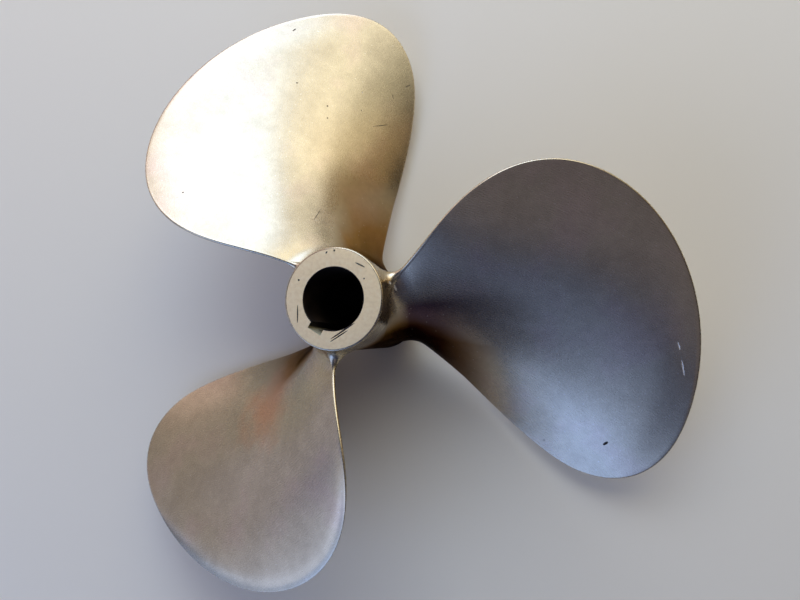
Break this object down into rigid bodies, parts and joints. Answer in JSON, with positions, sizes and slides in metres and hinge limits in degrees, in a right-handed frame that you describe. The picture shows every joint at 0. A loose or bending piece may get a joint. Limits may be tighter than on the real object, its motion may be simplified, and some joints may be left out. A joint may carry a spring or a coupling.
{
  "type": "ship propeller",
  "caption": "Right-handed fixed-pitch ship propeller with wide blades, cast in one piece with a hub that has a tapered, keyed shaft bore.",
  "frame": {"origin": "on the shaft axis at the aft end of the hub, which is the flat ring that the propeller rests on", "axes": "+Z forward along the shaft axis, which is up as the propeller lies; +X along the generator line of the first blade; +Y a quarter turn anticlockwise from it, seen from forward"},
  "size_m": [0.6209, 0.6639, 0.1782],
  "materials": {
    "propeller_bronze": "satin, ground and polished, lightly tarnished"
  },
  "bodies": {
    "root": {"propeller": "propeller_bronze"}
  },
  "joints": []
}
